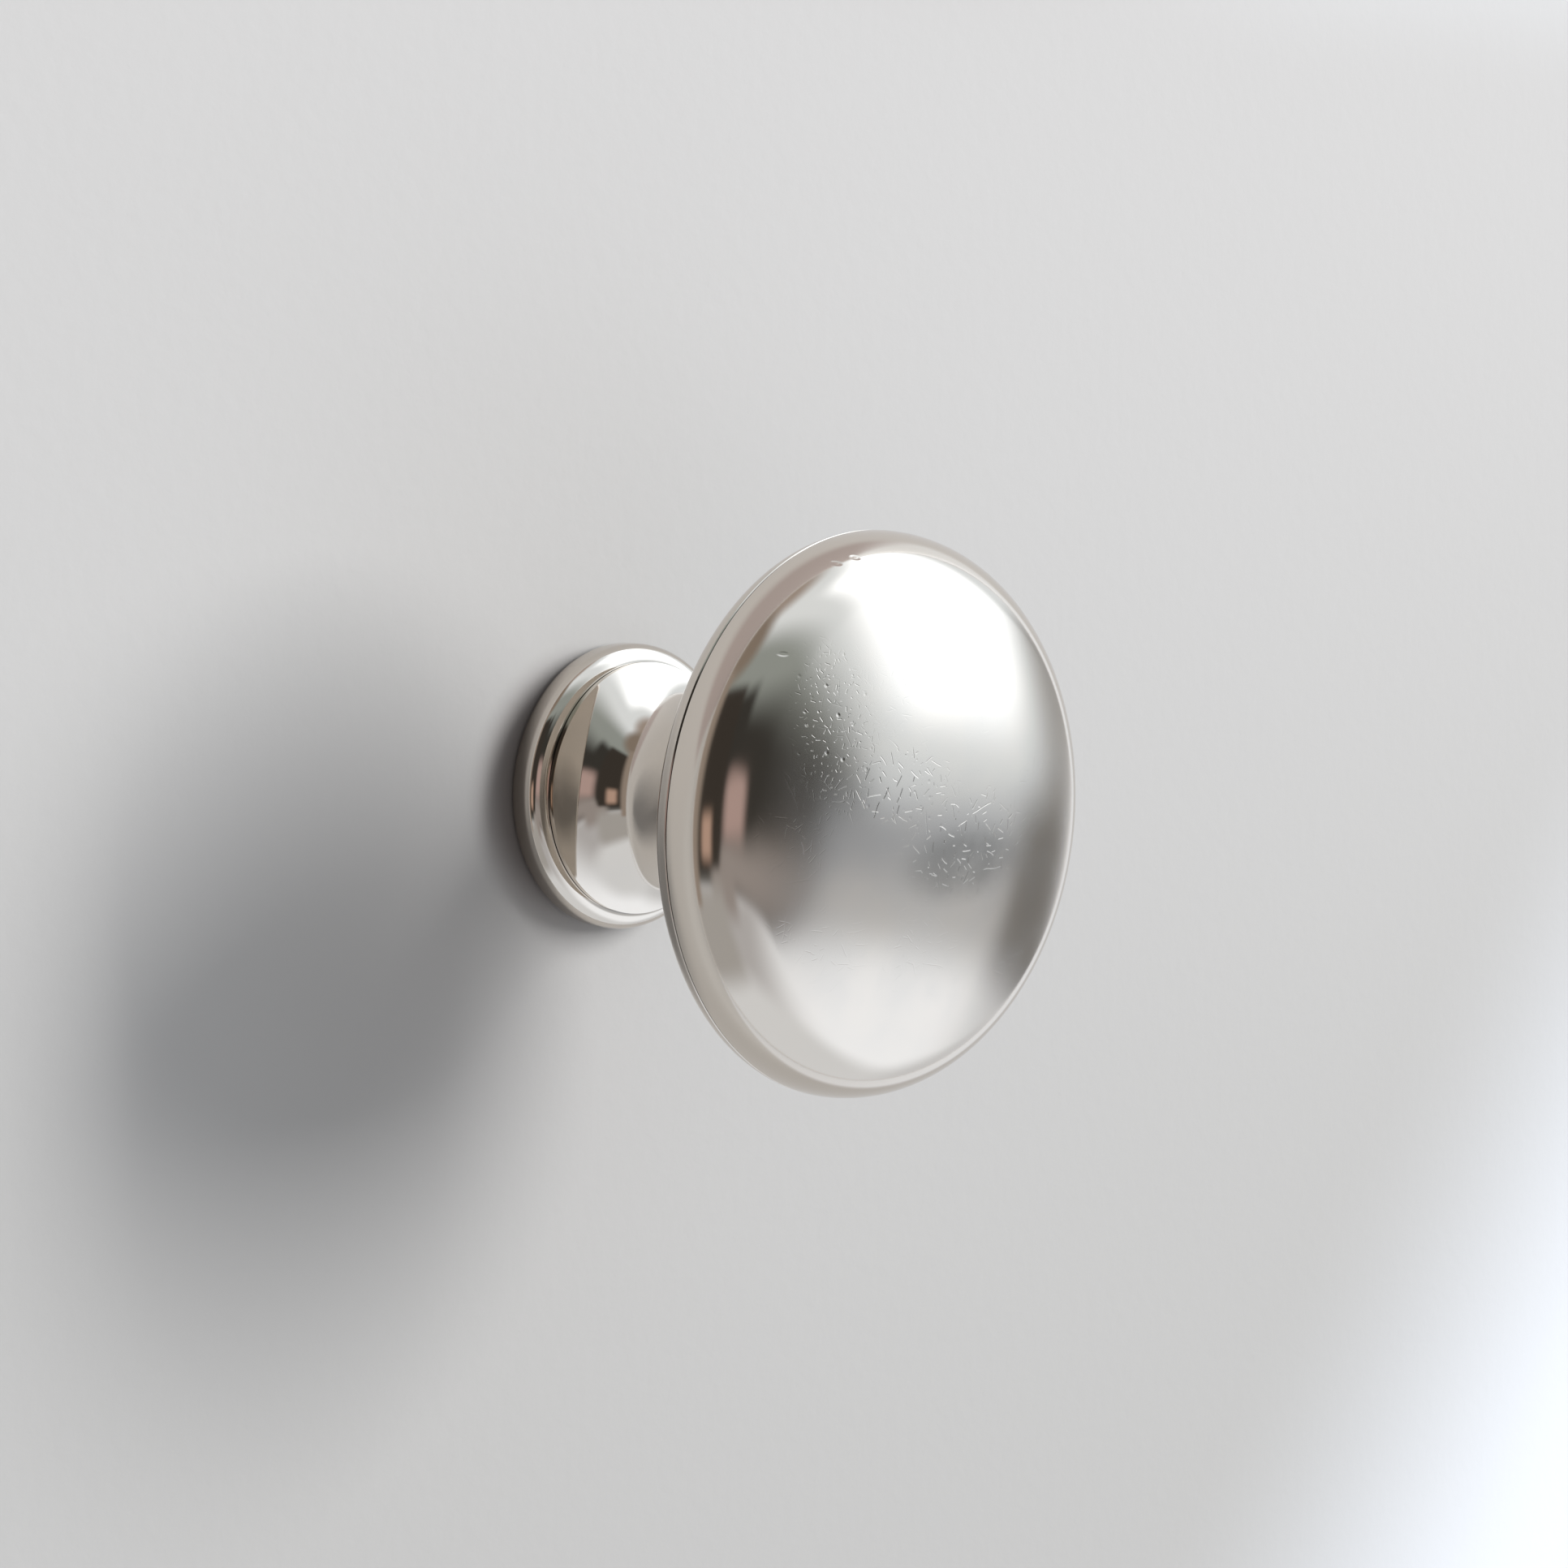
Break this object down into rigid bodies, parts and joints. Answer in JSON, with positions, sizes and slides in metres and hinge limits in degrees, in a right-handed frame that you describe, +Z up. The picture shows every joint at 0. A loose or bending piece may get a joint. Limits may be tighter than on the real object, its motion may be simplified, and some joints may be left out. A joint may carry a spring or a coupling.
{
  "type": "cupboard door knob",
  "caption": "Fixed door knob: a domed hollow head on a coved neck and a round foot plate, clamped to the door by a machine screw from behind.",
  "frame": {"origin": "centre of the foot plate's back face, on the door's front face", "axes": "+Z up; the knob stands out of the door along -Y; the fixing screw goes into the door along +Y"},
  "size_m": [0.032, 0.0498, 0.032],
  "materials": {
    "nickel_face": "nickel plate, polished at the edge, worn to a soft satin with fine scratches on the crown",
    "nickel_body": "polished nickel plate",
    "brass_bush": "plain turned brass",
    "zinc_steel": "bright zinc plate"
  },
  "bodies": {
    "knob": {"face_shell": "nickel_face", "back_cup": "nickel_body", "neck": "nickel_body", "rivet_washer": "zinc_steel", "base_rose": "nickel_body", "threaded_bush": "brass_bush"},
    "washers": {"flat_washer": "zinc_steel", "spring_washer": "zinc_steel"},
    "screw": {"fixing_screw": "zinc_steel"}
  },
  "joints": [
    {"name": "screw_travel", "type": "slide", "parent": "knob", "child": "washers", "axis": [0, 1, 0], "range_m": [0, 0.0084]},
    {"name": "screw_turn", "type": "hinge", "parent": "washers", "child": "screw", "pos_m": [0, 0.0198, 0], "axis": [0, 1, 0], "range_deg": [0, 4320]}
  ],
  "couplings": [
    {"joint": "screw_turn", "follows": "screw_travel", "rad_per_m": 8976}
  ]
}
